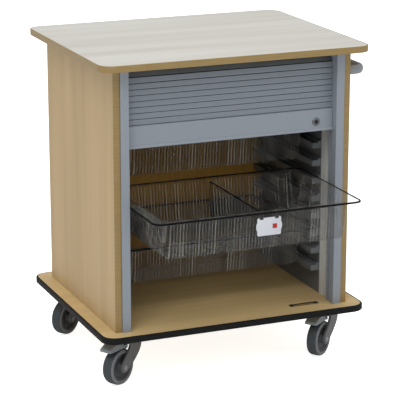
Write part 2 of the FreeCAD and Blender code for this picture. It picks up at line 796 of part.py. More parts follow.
def push_handle():
    """An oval tube bent out from the side panel, along it and back."""
    z = WORKTOP_BOTTOM - HANDLE_DROP
    start = HANDLE_INSET
    end = BODY_DEPTH - HANDLE_INSET
    out = HALF_BODY + HANDLE_PROJECTION - HANDLE_SECTION_WIDTH / 2
    leg = out - HANDLE_BEND
    slant = HANDLE_BEND * (1 - math.sqrt(0.5))
    front_bend = (vec(leg, start, z), vec(out - slant, start + slant, z), vec(out, start + HANDLE_BEND, z))
    rear_bend = (vec(out, end - HANDLE_BEND, z), vec(out - slant, end - slant, z), vec(leg, end, z))
    path = Part.Wire(
        [
            Part.makeLine(vec(HALF_BODY, start, z), front_bend[0]),
            Part.Arc(*front_bend).toShape(),
            Part.makeLine(front_bend[2], rear_bend[0]),
            Part.Arc(*rear_bend).toShape(),
            Part.makeLine(rear_bend[2], vec(HALF_BODY, end, z)),
        ]
    )
    tall = vec(HALF_BODY, start, z + HANDLE_SECTION_HEIGHT / 2)
    wide = vec(HALF_BODY, start + HANDLE_SECTION_WIDTH / 2, z)
    section = Part.Wire(Part.Ellipse(tall, wide, vec(HALF_BODY, start, z)).toShape())
    return path.makePipeShell([section], True, True)


# Casters ---------------------------------------------------------------------------------------


def caster_places():
    """Each caster's swivel axis and the heading that its wheel trails to."""
    x = HALF_BOARD - CASTER_SIDE_INSET
    front = BOARD_FRONT + CASTER_FRONT_INSET
    rear = BOARD_BACK - CASTER_REAR_INSET
    spots = {
        "front_left": (-x, front),
        "front_right": (x, front),
        "rear_left": (-x, rear),
        "rear_right": (x, rear),
    }
    return {name: (*spots[name], CASTER_HEADINGS[name]) for name in spots}


def placed(shape, place):
    """A caster's piece, drawn with its trail along X, turned and moved to its place."""
    x, y, heading = place
    moved = shape.copy()
    moved.rotate(vec(0, 0, 0), vec(0, 0, 1), heading)
    moved.translate(vec(x, y, 0))
    return moved


def bolt_places(place):
    x, y, _ = place
    sides = [(i, j) for i in (-1, 1) for j in (-1, 1)]
    return [(x + i * BOLT_SPACING_WIDTH / 2, y + j * BOLT_SPACING_LENGTH / 2) for i, j in sides]


def caster_plate(place):
    """The fixed plate, and under it the upper race with the kingpin that the housing turns on."""
    x, y, _ = place
    plate = rounded_plate(
        x - PLATE_WIDTH / 2,
        x + PLATE_WIDTH / 2,
        y - PLATE_LENGTH / 2,
        y + PLATE_LENGTH / 2,
        PLATE_CORNER,
        CASTER_HEIGHT - PLATE_THICKNESS,
        CASTER_HEIGHT,
    )
    race = rod_z(x, y, RACE_RADIUS, CROWN_TOP + RACE_GAP, CASTER_HEIGHT - PLATE_THICKNESS)
    head_top = CROWN_BOTTOM - RACE_GAP
    pin = rod_z(x, y, KINGPIN_RADIUS, head_top, CROWN_TOP + RACE_GAP)
    head = rod_z(x, y, KINGPIN_HEAD_RADIUS, head_top - KINGPIN_HEAD_HEIGHT, head_top)
    bottom = CASTER_HEIGHT - PLATE_THICKNESS
    holes = [rod_z(bx, by, BOLT_RADIUS, bottom, CASTER_HEIGHT) for bx, by in bolt_places(place)]
    return [plate.cut(holes), race.fuse([pin, head])]


def hexagon(x, y, radius, z0, z1):
    points = []
    for number in range(6):
        angle = math.pi / 3 * number
        points.append(vec(x + radius * math.cos(angle), y + radius * math.sin(angle), z0))
    return polygon_face(points).extrude(vec(0, 0, z1 - z0))


def caster_bolt(x, y):
    bottom = CASTER_HEIGHT - PLATE_THICKNESS
    head = hexagon(x, y, BOLT_HEAD_RADIUS, bottom - BOLT_HEAD_HEIGHT, bottom)
    return head.fuse(rod_z(x, y, BOLT_RADIUS, bottom, CASTER_HEIGHT))


def sweep(points):
    curve = Part.BezierCurve()
    curve.setPoles(points)
    return curve.toShape()


def on_arm_end(angle, y):
    """A point on the round end of an arm, and the direction along its edge there."""
    turn = math.radians(angle)
    x = CASTER_TRAIL + ARM_END_RADIUS * math.cos(turn)
    z = WHEEL_RADIUS + ARM_END_RADIUS * math.sin(turn)
    return vec(x, y, z), vec(-math.sin(turn), 0, math.cos(turn))


def arm_face(y):
    """An arm's outline: a broad shoulder that sweeps down and forward to a round end about the axle."""
    back_end, back_way = on_arm_end(240, y)
    front_end, front_way = on_arm_end(30, y)
    tip = on_arm_end(-45, y)[0]
    shoulder = vec(-ARM_BACK, y, CASTER_HEIGHT - ARM_SHOULDER)
    throat = vec(ARM_FRONT, y, CROWN_BOTTOM)
    back = vec(-ARM_BACK, y, CROWN_TOP)
    front = vec(ARM_FRONT, y, CROWN_TOP)
    drop = vec(0, 0, -ARM_SWEEP)
    edges = [
        Part.makeLine(back, shoulder),
        sweep([shoulder, shoulder + drop, back_end - back_way * ARM_SWEEP, back_end]),
        Part.Arc(back_end, tip, front_end).toShape(),
        sweep([front_end, front_end + front_way * ARM_SWEEP, throat + drop / 2, throat]),
        Part.makeLine(throat, front),
        Part.makeLine(front, back),
    ]
    return Part.Face(Part.Wire(edges))


def fork_arm():
    """One moulded arm with its outer edges eased, on the +Y side of the wheel."""
    arm = arm_face(ARM_INNER).extrude(vec(0, ARM_THICKNESS, 0))
    outer = edges_at(arm, lambda p: near(p.y, ARM_OUTER) and p.z < CROWN_TOP - 1)
    return arm.makeFillet(ARM_ROUND, outer)


def fork_crown():
    """The disc under the race, the bridge between the arms and the shroud behind the wheel."""
    disc = rod_z(0, 0, CROWN_RADIUS, CROWN_BOTTOM, CROWN_TOP)
    bridge = box(-ARM_BACK, ARM_FRONT, -ARM_INNER, ARM_INNER, CROWN_BOTTOM, CROWN_TOP)
    shroud_foot = CASTER_HEIGHT - ARM_SHOULDER
    shroud = box(-ARM_BACK, SHROUD_THICKNESS - ARM_BACK, -ARM_INNER, ARM_INNER, shroud_foot, CROWN_TOP)
    return disc.fuse([bridge, shroud])


def pedal_lug():
    """The lug under the crown that carries the pedal's pin."""
    half = PEDAL_LUG_WIDTH / 2
    stem = box(
        PEDAL_PIVOT_X - PEDAL_EAR_RADIUS,
        PEDAL_PIVOT_X + PEDAL_EAR_RADIUS,
        -half,
        half,
        PEDAL_PIVOT_Z,
        CROWN_BOTTOM,
    )
    return stem.fuse(rod_y(PEDAL_PIVOT_X, PEDAL_PIVOT_Z, PEDAL_EAR_RADIUS, -half, half))


def caster_fork(name):
    arm = fork_arm()
    other = arm.mirror(vec(0, 0, 0), vec(0, 1, 0))
    pin_hole = rod_z(0, 0, KINGPIN_RADIUS + RUNNING_CLEARANCE, CROWN_BOTTOM, CROWN_TOP)
    axle_hole = rod_y(CASTER_TRAIL, WHEEL_RADIUS, AXLE_RADIUS, -ARM_OUTER, ARM_OUTER)
    parts = [arm, other]
    holes = [pin_hole, axle_hole]
    if name in PEDAL_CASTERS:
        parts.append(pedal_lug())
        radius = PEDAL_PIN_RADIUS + RUNNING_CLEARANCE
        holes.append(rod_y(PEDAL_PIVOT_X, PEDAL_PIVOT_Z, radius, -ARM_INNER, ARM_INNER))
    return fork_crown().fuse(parts).cut(holes).removeSplitter()


def caster_axle():
    shaft = rod_y(CASTER_TRAIL, WHEEL_RADIUS, AXLE_RADIUS, -ARM_OUTER, ARM_OUTER)
    tips = [ARM_OUTER, -ARM_OUTER - AXLE_HEAD_HEIGHT]
    heads = [rod_y(CASTER_TRAIL, WHEEL_RADIUS, AXLE_HEAD_RADIUS, y, y + AXLE_HEAD_HEIGHT) for y in tips]
    return shaft.fuse(heads).removeSplitter()


def wheel_turned(outline):
    """A (y, radius) outline turned about the wheel's axle."""
    face = polygon_face([vec(CASTER_TRAIL, y, WHEEL_RADIUS + radius) for y, radius in outline])
    return face.revolve(vec(CASTER_TRAIL, 0, WHEEL_RADIUS), vec(0, 1, 0), 360)


def wheel_core():
    """A hub, a dished web and a rim that the tyre sits on."""
    hub = CORE_HUB_WIDTH / 2
    web = CORE_WEB_WIDTH / 2
    rim = CORE_RIM_WIDTH / 2
    outer = WHEEL_RADIUS - TYRE_THICKNESS
    inner = outer - CORE_RIM_THICKNESS
    dish = inner - (rim - web)
    bore = AXLE_RADIUS + RUNNING_CLEARANCE
    half = [(hub, bore), (hub, AXLE_RADIUS * 2), (web, CORE_HUB_RADIUS), (web, dish), (rim, inner), (rim, outer)]
    return wheel_turned([(-y, radius) for y, radius in half] + half[::-1])


def tyre():
    """A tyre with round shoulders and a raised land down each side."""
    outer = WHEEL_RADIUS
    inner = outer - TYRE_THICKNESS
    half = WHEEL_WIDTH / 2
    slant = TYRE_ROUND * (1 - math.sqrt(0.5))
    right = [(half - TYRE_LAND, inner), (half, inner + TYRE_LAND), (half, outer - TYRE_ROUND)]
    right += [(half - slant, outer - slant), (half - TYRE_ROUND, outer)]
    return wheel_turned([(-y, radius) for y, radius in right] + right[::-1])


def pedal_outline(inset):
    """The lever's side view, drawn in by a wall from its top and its nose."""
    bottom = 2 * WHEEL_RADIUS + PEDAL_SHOE_GAP
    top = bottom + PEDAL_HEIGHT - inset
    reach = PEDAL_REACH - inset
    heel = PEDAL_HEEL + inset * PEDAL_SHOE_LENGTH / PEDAL_WALL / 2
    return [
        (heel, bottom),
        (reach, bottom),
        (reach, bottom + PEDAL_LIP - inset / 2),
        (PEDAL_NOSE, top - PEDAL_WALL),
        (heel, top),
    ]


def pedal_lever():
    """The moulded lever, hollow from below, with a solid heel above the tyre."""
    half = PEDAL_WIDTH / 2
    lever = prism_y(pedal_outline(0), -half, half)
    sides = edges_at(lever, lambda p: near(abs(p.y), half) and p.z > 2 * WHEEL_RADIUS + PEDAL_SHOE_GAP + 1)
    eased = [edge for edge in sides if near(edge.Vertexes[0].Y, edge.Vertexes[-1].Y)]
    hollow = prism_y(pedal_outline(PEDAL_WALL), PEDAL_WALL - half, half - PEDAL_WALL)
    return lever.makeFillet(PEDAL_ROUND, eased).cut(hollow)


def brake_pedal():
    """The lever with two ears that turn on a pin through the housing's lug."""
    half = PEDAL_WIDTH / 2
    inner = PEDAL_LUG_WIDTH / 2 + PEDAL_LUG_GAP
    parts = [rod_y(PEDAL_PIVOT_X, PEDAL_PIVOT_Z, PEDAL_PIN_RADIUS, -half, half)]
    bottom = 2 * WHEEL_RADIUS + PEDAL_SHOE_GAP
    for y in (inner, -half):
        ear = rod_y(PEDAL_PIVOT_X, PEDAL_PIVOT_Z, PEDAL_EAR_RADIUS, y, y + half - inner)
        strap_top = PEDAL_PIVOT_Z + PEDAL_EAR_RADIUS
        strap = box(PEDAL_PIVOT_X, PEDAL_HEEL, y, y + half - inner, bottom, strap_top)
        parts += [ear, strap]
    return pedal_lever().fuse(parts).removeSplitter()


# Assembly --------------------------------------------------------------------------------------


def sided(name, shape):
    return {name + "_right": shape, name + "_left": mirrored(shape)}


def body_pieces():
    pieces = {
        "worktop": worktop(),
        "worktop_edging": worktop_edging(),
        "base_board": base_board(),
        "base_bumper": base_bumper(),
        "strike_plate": strike_plate(),
        "back_panel": back_panel(),
        "false_back": false_back(),
        "push_handle": push_handle(),
    }
    pieces.update(sided("side_panel", side_panel()))
    pieces.update(sided("panel_edging", panel_edging()))
    pieces.update(sided("track_post", track_post()))
    pieces.update(sided("curtain_track", curtain_track()))
    pieces.update(sided("tray_liner", tray_liner()))
    pieces.update(sided("tray_runners", tray_runners()))
    return pieces


def shutter_pieces():
    return {
        "tambour_slats": tambour_slats(),
        "lock_rail": lock_rail(),
        "rail_end_glides": rail_end_glides(),
        "lock_housing": lock_housing(),
        "lock_plug": lock_plug(),
        "lock_cam": lock_cam(),
    }


def tray_pieces():
    pieces = {"tray_" + name: tray(name) for name in TRAY_SLOTS}
    pieces["tray_divider"] = tray_divider()
    pieces["label_holder"] = label_holder()
    pieces["label_clips"] = label_clips()
    pieces["label_tab"] = label_tab()
    return pieces


def caster_pieces():
    places = caster_places()
    bolts = [caster_bolt(x, y) for place in places.values() for x, y in bolt_places(place)]
    pieces = {
        "caster_plates": Part.makeCompound([solid for place in places.values() for solid in caster_plate(place)]),
        "caster_bolts": Part.makeCompound(bolts),
    }
    for name, place in places.items():
        pieces["caster_fork_" + name] = placed(caster_fork(name), place)
        pieces["caster_axle_" + name] = placed(caster_axle(), place)
        pieces["wheel_core_" + name] = placed(wheel_core(), place)
        pieces["tyre_" + name] = placed(tyre(), place)
    for name in PEDAL_CASTERS:
        pieces["brake_pedal_" + name] = placed(brake_pedal(), places[name])
    return pieces


def all_pieces():
    return {**body_pieces(), **shutter_pieces(), **tray_pieces(), **caster_pieces()}


def origin_shift(pieces):
    """The move that puts the origin under the middle of the whole unit, on the floor."""
    bounds = Part.makeCompound(list(pieces.values())).optimalBoundingBox(False, False)
    return vec(-bounds.Center.x, -bounds.Center.y, -bounds.ZMin)


def export():
    os.makedirs("parts", exist_ok=True)
    pieces = all_pieces()
    shift = origin_shift(pieces)
    for name, shape in pieces.items():
        shape.translate(shift)
        shape.exportStep("parts/" + name + ".step")
    return pieces, shift


PIECES, SHIFT = export()
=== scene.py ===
import math

import bmesh
import bpy
from mathutils import Matrix, Vector


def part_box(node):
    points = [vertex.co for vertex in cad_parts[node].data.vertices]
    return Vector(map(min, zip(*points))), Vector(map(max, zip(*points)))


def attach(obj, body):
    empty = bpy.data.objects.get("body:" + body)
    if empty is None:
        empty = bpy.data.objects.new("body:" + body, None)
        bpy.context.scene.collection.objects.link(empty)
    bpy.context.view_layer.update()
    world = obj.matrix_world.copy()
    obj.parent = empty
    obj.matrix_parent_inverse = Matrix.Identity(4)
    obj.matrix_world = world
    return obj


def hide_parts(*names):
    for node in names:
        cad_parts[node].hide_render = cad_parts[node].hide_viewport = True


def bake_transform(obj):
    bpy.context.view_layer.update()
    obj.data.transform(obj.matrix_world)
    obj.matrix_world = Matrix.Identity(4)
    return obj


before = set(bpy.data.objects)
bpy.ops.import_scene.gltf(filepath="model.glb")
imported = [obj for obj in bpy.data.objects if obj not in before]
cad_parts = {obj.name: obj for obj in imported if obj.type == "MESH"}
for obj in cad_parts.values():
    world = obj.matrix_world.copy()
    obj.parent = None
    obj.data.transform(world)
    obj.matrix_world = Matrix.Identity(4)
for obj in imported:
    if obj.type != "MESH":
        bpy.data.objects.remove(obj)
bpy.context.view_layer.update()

bl_info = {
    "name": "Tray storage unit",
    "version": (1, 0, 0),
    "blender": (4, 5, 0),
    "location": "View3D > Sidebar > Tray unit",
    "description": "Dresses a mobile tray storage unit: boards, tambour shutter, clear trays and casters",
    "category": "Object",
}

MM = 0.001
SIDES = ("left", "right")
CASTERS = ("front_left", "front_right", "rear_left", "rear_right")
BRAKED = ("front_left", "front_right")
TRAYS = ("lower", "middle", "upper")


# Colours and nodes -----------------------------------------------------------------------------


def linear(hex_code):
    """An sRGB hex colour as linear red, green and blue."""
    channels = [int(hex_code[i : i + 2], 16) / 255 for i in (0, 2, 4)]
    return tuple(c / 12.92 if c <= 0.04045 else ((c + 0.055) / 1.055) ** 2.4 for c in channels)


def add_node(tree, kind, settings=None, inputs=None, links=None):
    """Adds a node, sets its settings and inputs, and links sockets into it."""
    node = tree.nodes.new(kind)
    for name, value in (settings or {}).items():
        setattr(node, name, value)
    for name, value in (inputs or {}).items():
        node.inputs[name].default_value = value
    for name, socket in (links or {}).items():
        tree.links.new(socket, node.inputs[name])
    return node


def new_material(name, colour, roughness, **sockets):
    """A material with one Principled shader, whose plain numbers sit on its own sockets."""
    material = bpy.data.materials.new(name)
    material.use_nodes = True
    tree = material.node_tree
    shader = tree.nodes["Principled BSDF"]
    shader.inputs["Base Color"].default_value = (*colour, 1.0)
    shader.inputs["Roughness"].default_value = roughness
    for socket, value in sockets.items():
        shader.inputs[socket.replace("_", " ")].default_value = value
    material.diffuse_color = (*colour, 1.0)
    return material, tree, shader


def object_pattern(tree, scale):
    """Object coordinates, scaled per axis."""
    place = add_node(tree, "ShaderNodeTexCoord")
    links = {"Vector": place.outputs["Object"]}
    return add_node(tree, "ShaderNodeMapping", inputs={"Scale": scale}, links=links).outputs["Vector"]


def cells(*sizes_mm):
    """The scale that gives a pattern cells of these sizes in millimetres, along X, Y and Z."""
    return tuple(1 / (size * MM) for size in sizes_mm)


def noise(tree, vector, detail=3.0, roughness=0.5):
    """A noise pattern's value, 0 to 1."""
    inputs = {"Scale": 1.0, "Detail": detail, "Roughness": roughness}
    return add_node(tree, "ShaderNodeTexNoise", inputs=inputs, links={"Vector": vector}).outputs["Fac"]


def ramp(tree, factor, stops):
    """A colour ramp through (position, colour) stops."""
    node = add_node(tree, "ShaderNodeValToRGB", links={"Fac": factor})
    elements = node.color_ramp.elements
    while len(elements) < len(stops):
        elements.new(0.5)
    for element, (position, colour) in zip(elements, stops):
        element.position = position
        element.color = (*colour, 1.0)
    return node.outputs["Color"]


def blended(tree, factor, first, second, kind="MIX"):
    """Two colours mixed, where the factor and each colour may be a number or a socket."""
    node = add_node(tree, "ShaderNodeMix", {"data_type": "RGBA", "blend_type": kind})
    for socket, value in ((node.inputs[0], factor), (node.inputs[6], first), (node.inputs[7], second)):
        if isinstance(value, bpy.types.NodeSocket):
            tree.links.new(value, socket)
        else:
            socket.default_value = value
    return node.outputs[2]


def add_bump(tree, shader, height, depth_mm):
    """Relief of this depth, in the pattern's own shape."""
    inputs = {"Strength": 1.0, "Distance": depth_mm * MM}
    node = add_node(tree, "ShaderNodeBump", inputs=inputs, links={"Height": height})
    tree.links.new(node.outputs["Normal"], shader.inputs["Normal"])


def varied_roughness(tree, shader, factor, low, high):
    """Roughness that follows a pattern between two values."""
    links = {"Value": factor}
    node = add_node(tree, "ShaderNodeMapRange", inputs={"To Min": low, "To Max": high}, links=links)
    tree.links.new(node.outputs["Result"], shader.inputs["Roughness"])


def shade_of(colour, factor):
    """The colour made darker or lighter by a factor."""
    return tuple(min(1.0, channel * factor) for channel in colour)


# Settings --------------------------------------------------------------------------------------


def colour_setting(name, description, hex_code):
    return bpy.props.FloatVectorProperty(
        name=name,
        description=description,
        default=linear(hex_code),
        subtype="COLOR",
        size=3,
        min=0.0,
        max=1.0,
    )


def length_setting(name, description, millimetres):
    return bpy.props.FloatProperty(
        name=name,
        description=description,
        default=millimetres * MM,
        min=0.0,
        unit="LENGTH",
        precision=4,
    )


def number_setting(name, description, value):
    return bpy.props.FloatProperty(name=name, description=description, default=value, min=0.0)


def share_setting(name, description, share):
    return bpy.props.FloatProperty(name=name, description=description, default=share, min=0.0, max=1.0)


class TrayUnitBoardSettings(bpy.types.PropertyGroup):
    """Finishes of the boards and their edges"""

    laminate: colour_setting("Worktop", "Colour of the worktop's laminate", "CFCDC6")
    maple: colour_setting("Maple", "Colour of the maple decor on the panels", "BDA276")
    base: colour_setting("Base", "Colour of the base's upper face", "CAAF7C")
    # Partly painted shade: the false back is made darker and browner than the maple for the shade inside the
    # cabinet.
    hardboard_and_shade: colour_setting("False back", "Colour of the hardboard inside the back", "AA7F30")
    edge: colour_setting("Edge band", "Colour of the worktop's edge band", "957C4A")
    bumper: colour_setting("Bumper", "Colour of the base's bumper", "0B0C0D")
    grain_width: length_setting("Grain width", "Width of one streak of the printed grain", 5.0)
    grain_length: length_setting("Grain length", "Length of one streak of the printed grain", 420.0)


class TrayUnitShutterSettings(bpy.types.PropertyGroup):
    """Sizes and finishes of the tambour shutter"""

    slat_pitch: length_setting("Slat pitch", "Distance from one slat to the next", 16.0)
    slat_joint: length_setting("Slat joint", "Gap between two slats", 0.9)
    slat_thickness: length_setting("Slat thickness", "Thickness of a slat", 7.0)
    slat_round: length_setting("Slat edge", "Rounding of a slat's front edges", 1.2)
    bend_radius: length_setting("Bend radius", "Radius of the track's bends", 40.0)
    slat: colour_setting("Slats", "Colour of the slats", "7E868F")
    rail: colour_setting("Rail and posts", "Colour of the extrusions", "8B929B")
    # Painted shade: a darker copy of the slat grey, for the slats in the bend under the worktop.
    in_bend_shade: colour_setting("Bend shade slats", "Colour of the slats that lie in the bend", "56585A")
    # Painted shade: the near-black colour given to the slats' faces in the joints.
    joint: colour_setting("Slat joint shade", "Colour of the hinge beads between the slats", "1B1D20")
    lock: colour_setting("Lock", "Colour of the lock's plated metal", "6E7174")
    plug: colour_setting("Lock plug", "Colour of the lock's plug", "3A3B3E")


class TrayUnitTraySettings(bpy.types.PropertyGroup):
    """Sizes and finishes of the clear trays"""

    wall: length_setting("Wall", "Thickness of a tray's wall", 2.0)
    flute_pitch: length_setting("Flute pitch", "Distance from one flute to the next", 10.0)
    flute_depth: length_setting("Flute depth", "How far the deepest flutes stand out", 1.3)
    clear: colour_setting("Clear plastic", "Colour of the light that the clear plastic scatters", "3A3E42")
    # Painted highlight: the streak colour, its cover and its pitch paint bright upright lines for the light
    # that the flutes catch.
    streak: colour_setting("Streak", "Colour of a bright draw line", "C4BFB4")
    facing: share_setting("Cover facing", "How much a wall hides that faces the eye", 0.06)
    grazing: share_setting("Cover grazing", "How much a wall hides that is seen edge on", 0.3)
    streak_cover: share_setting("Streaks", "How much more a bright draw line hides", 0.34)
    streak_pitch: length_setting("Streak pitch", "Distance from one draw line to the next", 9.0)
    rim_line: colour_setting("Rim line", "Colour of a tray's outer edge, which traps the light", "08090A")
    # Runner panels: the sides' grey is darkened partly as painted shade inside the cabinet; the caps, the
    # fronts and the pale strip along the front edge are lighter copies that paint the light on them.
    panel: colour_setting("Runner panels", "Colour of the runner panels' sides", "66696B")
    cap: colour_setting("Runner caps", "Colour of the runners' front caps", "74797D")
    lip: length_setting("Panel lip", "Width of the pale lip along a runner panel's front edge", 26.0)
    front: colour_setting("Panel fronts", "Colour of the runner panels' front edges", "D2D3CF")
    label: colour_setting("Label holder", "Colour of the label holder", "CFD2D9")
    tab: colour_setting("Label mark", "Colour of the square on the label", "B01014")


class TrayUnitCasterSettings(bpy.types.PropertyGroup):
    """Finishes of the casters and the handle"""

    tread: colour_setting("Tread", "Colour of the tyres' tread", "343B40")
    sidewall: colour_setting("Sidewall", "Colour of the tyres' sides", "696B6F")
    core: colour_setting("Wheel core", "Colour of the wheel cores", "34363A")
    fork: colour_setting("Housing", "Colour of the caster housings", "5A5C5E")
    pedal: colour_setting("Pedal", "Colour of the brake pedals", "6F777B")
    handle: colour_setting("Handle", "Colour of the push handle", "8B8E93")


class TrayUnitStudioSettings(bpy.types.PropertyGroup):
    """Camera and light"""

    horizon: number_setting("Horizon", "Strength of the light from the horizon and below", 0.24)
    zenith: number_setting("Zenith", "Strength of the light from straight above", 1.15)
    key_power: number_setting("Key", "Power of the main lamp in watts", 72.0)
    fill_power: number_setting("Fill", "Power of the side lamp in watts", 9.0)
    floor_glow: number_setting("Floor glow", "How much the floor glows to the camera", 0.8)
    lens: number_setting("Lens", "Focal length on a 36 mm wide sensor", 168.8)


SETTINGS = {
    "boards": TrayUnitBoardSettings,
    "shutter": TrayUnitShutterSettings,
    "trays": TrayUnitTraySettings,
    "casters": TrayUnitCasterSettings,
    "studio": TrayUnitStudioSettings,
}


def settings(name):
    return getattr(bpy.context.scene, "tray_unit_" + name)


# Modelling helpers -----------------------------------------------------------------------------


def deselect():
    if bpy.context.object and bpy.context.object.mode != "OBJECT":
        bpy.ops.object.mode_set(mode="OBJECT")
    bpy.ops.object.select_all(action="DESELECT")


def select_only(piece):
    deselect()
    piece.select_set(True)
    bpy.context.view_layer.objects.active = piece


def apply_modifiers(piece):
    select_only(piece)
    for modifier in list(piece.modifiers):
        bpy.ops.object.modifier_apply(modifier=modifier.name)


def settle(piece, name, material, angle=30.0):
    """Names a finished piece, leaves its place in its mesh and gives it its material."""
    select_only(piece)
    bpy.ops.object.transform_apply(location=True, rotation=True, scale=True)
    bpy.ops.object.shade_smooth_by_angle(angle=math.radians(angle))
    piece.name = name
    piece.data.name = name
    piece.data.materials.clear()
    piece.data.materials.append(material)
    return piece


def join_pieces(pieces):
    """Joins copies of one form into the first of them."""
    deselect()
    for piece in pieces:
        piece.select_set(True)
    bpy.context.view_layer.objects.active = pieces[0]
    bpy.ops.object.join()
    return bpy.context.view_layer.objects.active


def copy_at(piece, matrix):
    """A copy with its own mesh, at a place."""
    twin = piece.copy()
    twin.data = piece.data.copy()
    twin.matrix_world = matrix
    bpy.context.collection.objects.link(twin)
    return twin


def dress(material, *nodes):
    """Gives CAD nodes a material through their slots."""
    for name in nodes:
        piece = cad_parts[name]
        if not piece.material_slots:
            piece.data.materials.append(material)
        for slot in piece.material_slots:
            slot.material = material


def parted_copy(node, name, body, materials, pick):
    """A copy of a CAD node that stands for it, with a slot picked for each face by its centre and normal."""
    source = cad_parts[node]
    piece = source.copy()
    piece.data = source.data.copy()
    piece.parent = None
    bpy.context.collection.objects.link(piece)
    settle(piece, name, materials[0])
    for material in materials[1:]:
        piece.data.materials.append(material)
    for face in piece.data.polygons:
        face.material_index = pick(face.center, face.normal)
    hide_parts(node)
    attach(piece, body)
    return piece


# Boards ----------------------------------------------------------------------------------------

CLOUD_WIDTH = 12  # streaks across one slow change of tone
CLOUD_LENGTH = 2.5  # streaks along it
CLOUD_TONES = [(0.3, (0.90, 0.885, 0.86)), (0.65, (1.04, 1.04, 1.04))]


def grain(tree, setup, axis, colour, contrast):
    """Printed maple: long soft streaks along one axis, over slow changes of tone."""
    across = 1 / setup.grain_width
    along = 1 / setup.grain_length
    scale = [along if number == axis else across for number in range(3)]
    streaks = noise(tree, object_pattern(tree, scale), detail=4.0, roughness=0.55)
    broad = [share / (CLOUD_LENGTH if number == axis else CLOUD_WIDTH) for number, share in enumerate(scale)]
    clouds = noise(tree, object_pattern(tree, broad), detail=2.0)
    dark = shade_of(colour, 1 - contrast)
    light = shade_of(colour, 1 + contrast / 2)
    fine = ramp(tree, streaks, [(0.30, dark), (0.52, colour), (0.72, light)])
    slow = ramp(tree, clouds, CLOUD_TONES)
    return blended(tree, 1.0, fine, slow, "MULTIPLY"), streaks


def laminate_worktop(setup):
    """High-pressure laminate in pale maple: a hard satin sheet with broad soft reflections, faint grain."""
    material, tree, shader = new_material("pale_maple_laminate", setup.laminate, 0.42, IOR=1.5)
    colour, streaks = grain(tree, setup, 0, setup.laminate, 0.025)
    tree.links.new(colour, shader.inputs["Base Color"])
    varied_roughness(tree, shader, streaks, 0.36, 0.48)
    add_bump(tree, shader, streaks, 0.03)
    return material


def maple_board(name, setup, tone, axis, contrast):
    """Melamine-faced chipboard in maple decor: matt, with a shallow pore texture along the grain."""
    material, tree, shader = new_material(name, tone, 0.5, IOR=1.5)
    colour, streaks = grain(tree, setup, axis, tone, contrast)
    tree.links.new(colour, shader.inputs["Base Color"])
    varied_roughness(tree, shader, streaks, 0.44, 0.58)
    add_bump(tree, shader, streaks, 0.05)
    return material


def edge_band(setup):
    """ABS edge band in maple decor: a little glossier and darker than the faces that it closes."""
    material, tree, shader = new_material("maple_edge_band", setup.edge, 0.38, IOR=1.53)
    streaks = noise(tree, object_pattern(tree, cells(60, 60, 2.5)), detail=3.0)
    stops = [(0.3, shade_of(setup.edge, 0.88)), (0.7, shade_of(setup.edge, 1.08))]
    tree.links.new(ramp(tree, streaks, stops), shader.inputs["Base Color"])
    add_bump(tree, shader, streaks, 0.02)
    return material


def hardboard_and_shade(setup):
    """Board for the false back: a brown sheet of pressed fibres, matt, with a mottled tone; its dark brown
    is partly the board's own colour and partly painted shade inside the cabinet.
    """
    material, tree, shader = new_material("brown_board_and_shade", setup.hardboard_and_shade, 0.7, IOR=1.5)
    fibres = noise(tree, object_pattern(tree, cells(7, 7, 90)), detail=5.0)
    stops = [(0.3, shade_of(setup.hardboard_and_shade, 0.86)), (0.7, shade_of(setup.hardboard_and_shade, 1.12))]
    tree.links.new(ramp(tree, fibres, stops), shader.inputs["Base Color"])
    add_bump(tree, shader, fibres, 0.1)
    return material


def bumper_rubber(setup):
    """Soft black PVC bumper: deep matt black, scuffed a little lighter in random patches."""
    material, tree, shader = new_material("black_bumper", setup.bumper, 0.6, Specular_IOR_Level=0.2)
    scuffs = noise(tree, object_pattern(tree, cells(25, 25, 25)), detail=6.0, roughness=0.7)
    stops = [(0.5, setup.bumper), (0.85, linear("1A1B1E"))]
    tree.links.new(ramp(tree, scuffs, stops), shader.inputs["Base Color"])
    varied_roughness(tree, shader, scuffs, 0.5, 0.75)
    return material


class TRAYUNIT_OT_boards(bpy.types.Operator):
    """Give the worktop, the panels and the base their laminate, maple and edges"""

    bl_idname = "tray_unit.boards"
    bl_label = "Boards"

    def execute(self, context):
        setup = settings("boards")
        upright = maple_board("maple_panel", setup, setup.maple, 2, 0.07)
        dress(laminate_worktop(setup), "worktop")
        dress(edge_band(setup), "worktop_edging", "panel_edging_left", "panel_edging_right")
        dress(upright, "side_panel_left", "side_panel_right", "back_panel")
        dress(hardboard_and_shade(setup), "false_back")
        dress(maple_board("maple_base", setup, setup.base, 0, 0.10), "base_board")
        dress(bumper_rubber(setup), "base_bumper")
        return {"FINISHED"}


# Shutter ---------------------------------------------------------------------------------------

HIDDEN_TAIL = 56 * MM  # how far the curtain runs down behind the false back
# Slats turned further than the limit below get the painted shade of the worktop.
BEND_SHADE_TURN = 0.3  # slats turned further than this, in radians, lie in the bend
FACES_ALONG = 0.9  # a face whose normal points this far along an axis faces that way


def extruded_aluminium(name, tone):
    """Powder-coated aluminium extrusion: an even grey-blue satin with the coat's fine orange peel."""
    material, tree, shader = new_material(name, tone, 0.42, IOR=1.5)
    peel = noise(tree, object_pattern(tree, cells(1.6, 1.6, 1.6)), detail=2.0)
    stops = [(0.3, shade_of(tone, 0.96)), (0.7, shade_of(tone, 1.04))]
    tree.links.new(ramp(tree, peel, stops), shader.inputs["Base Color"])
    add_bump(tree, shader, peel, 0.03)
    return material


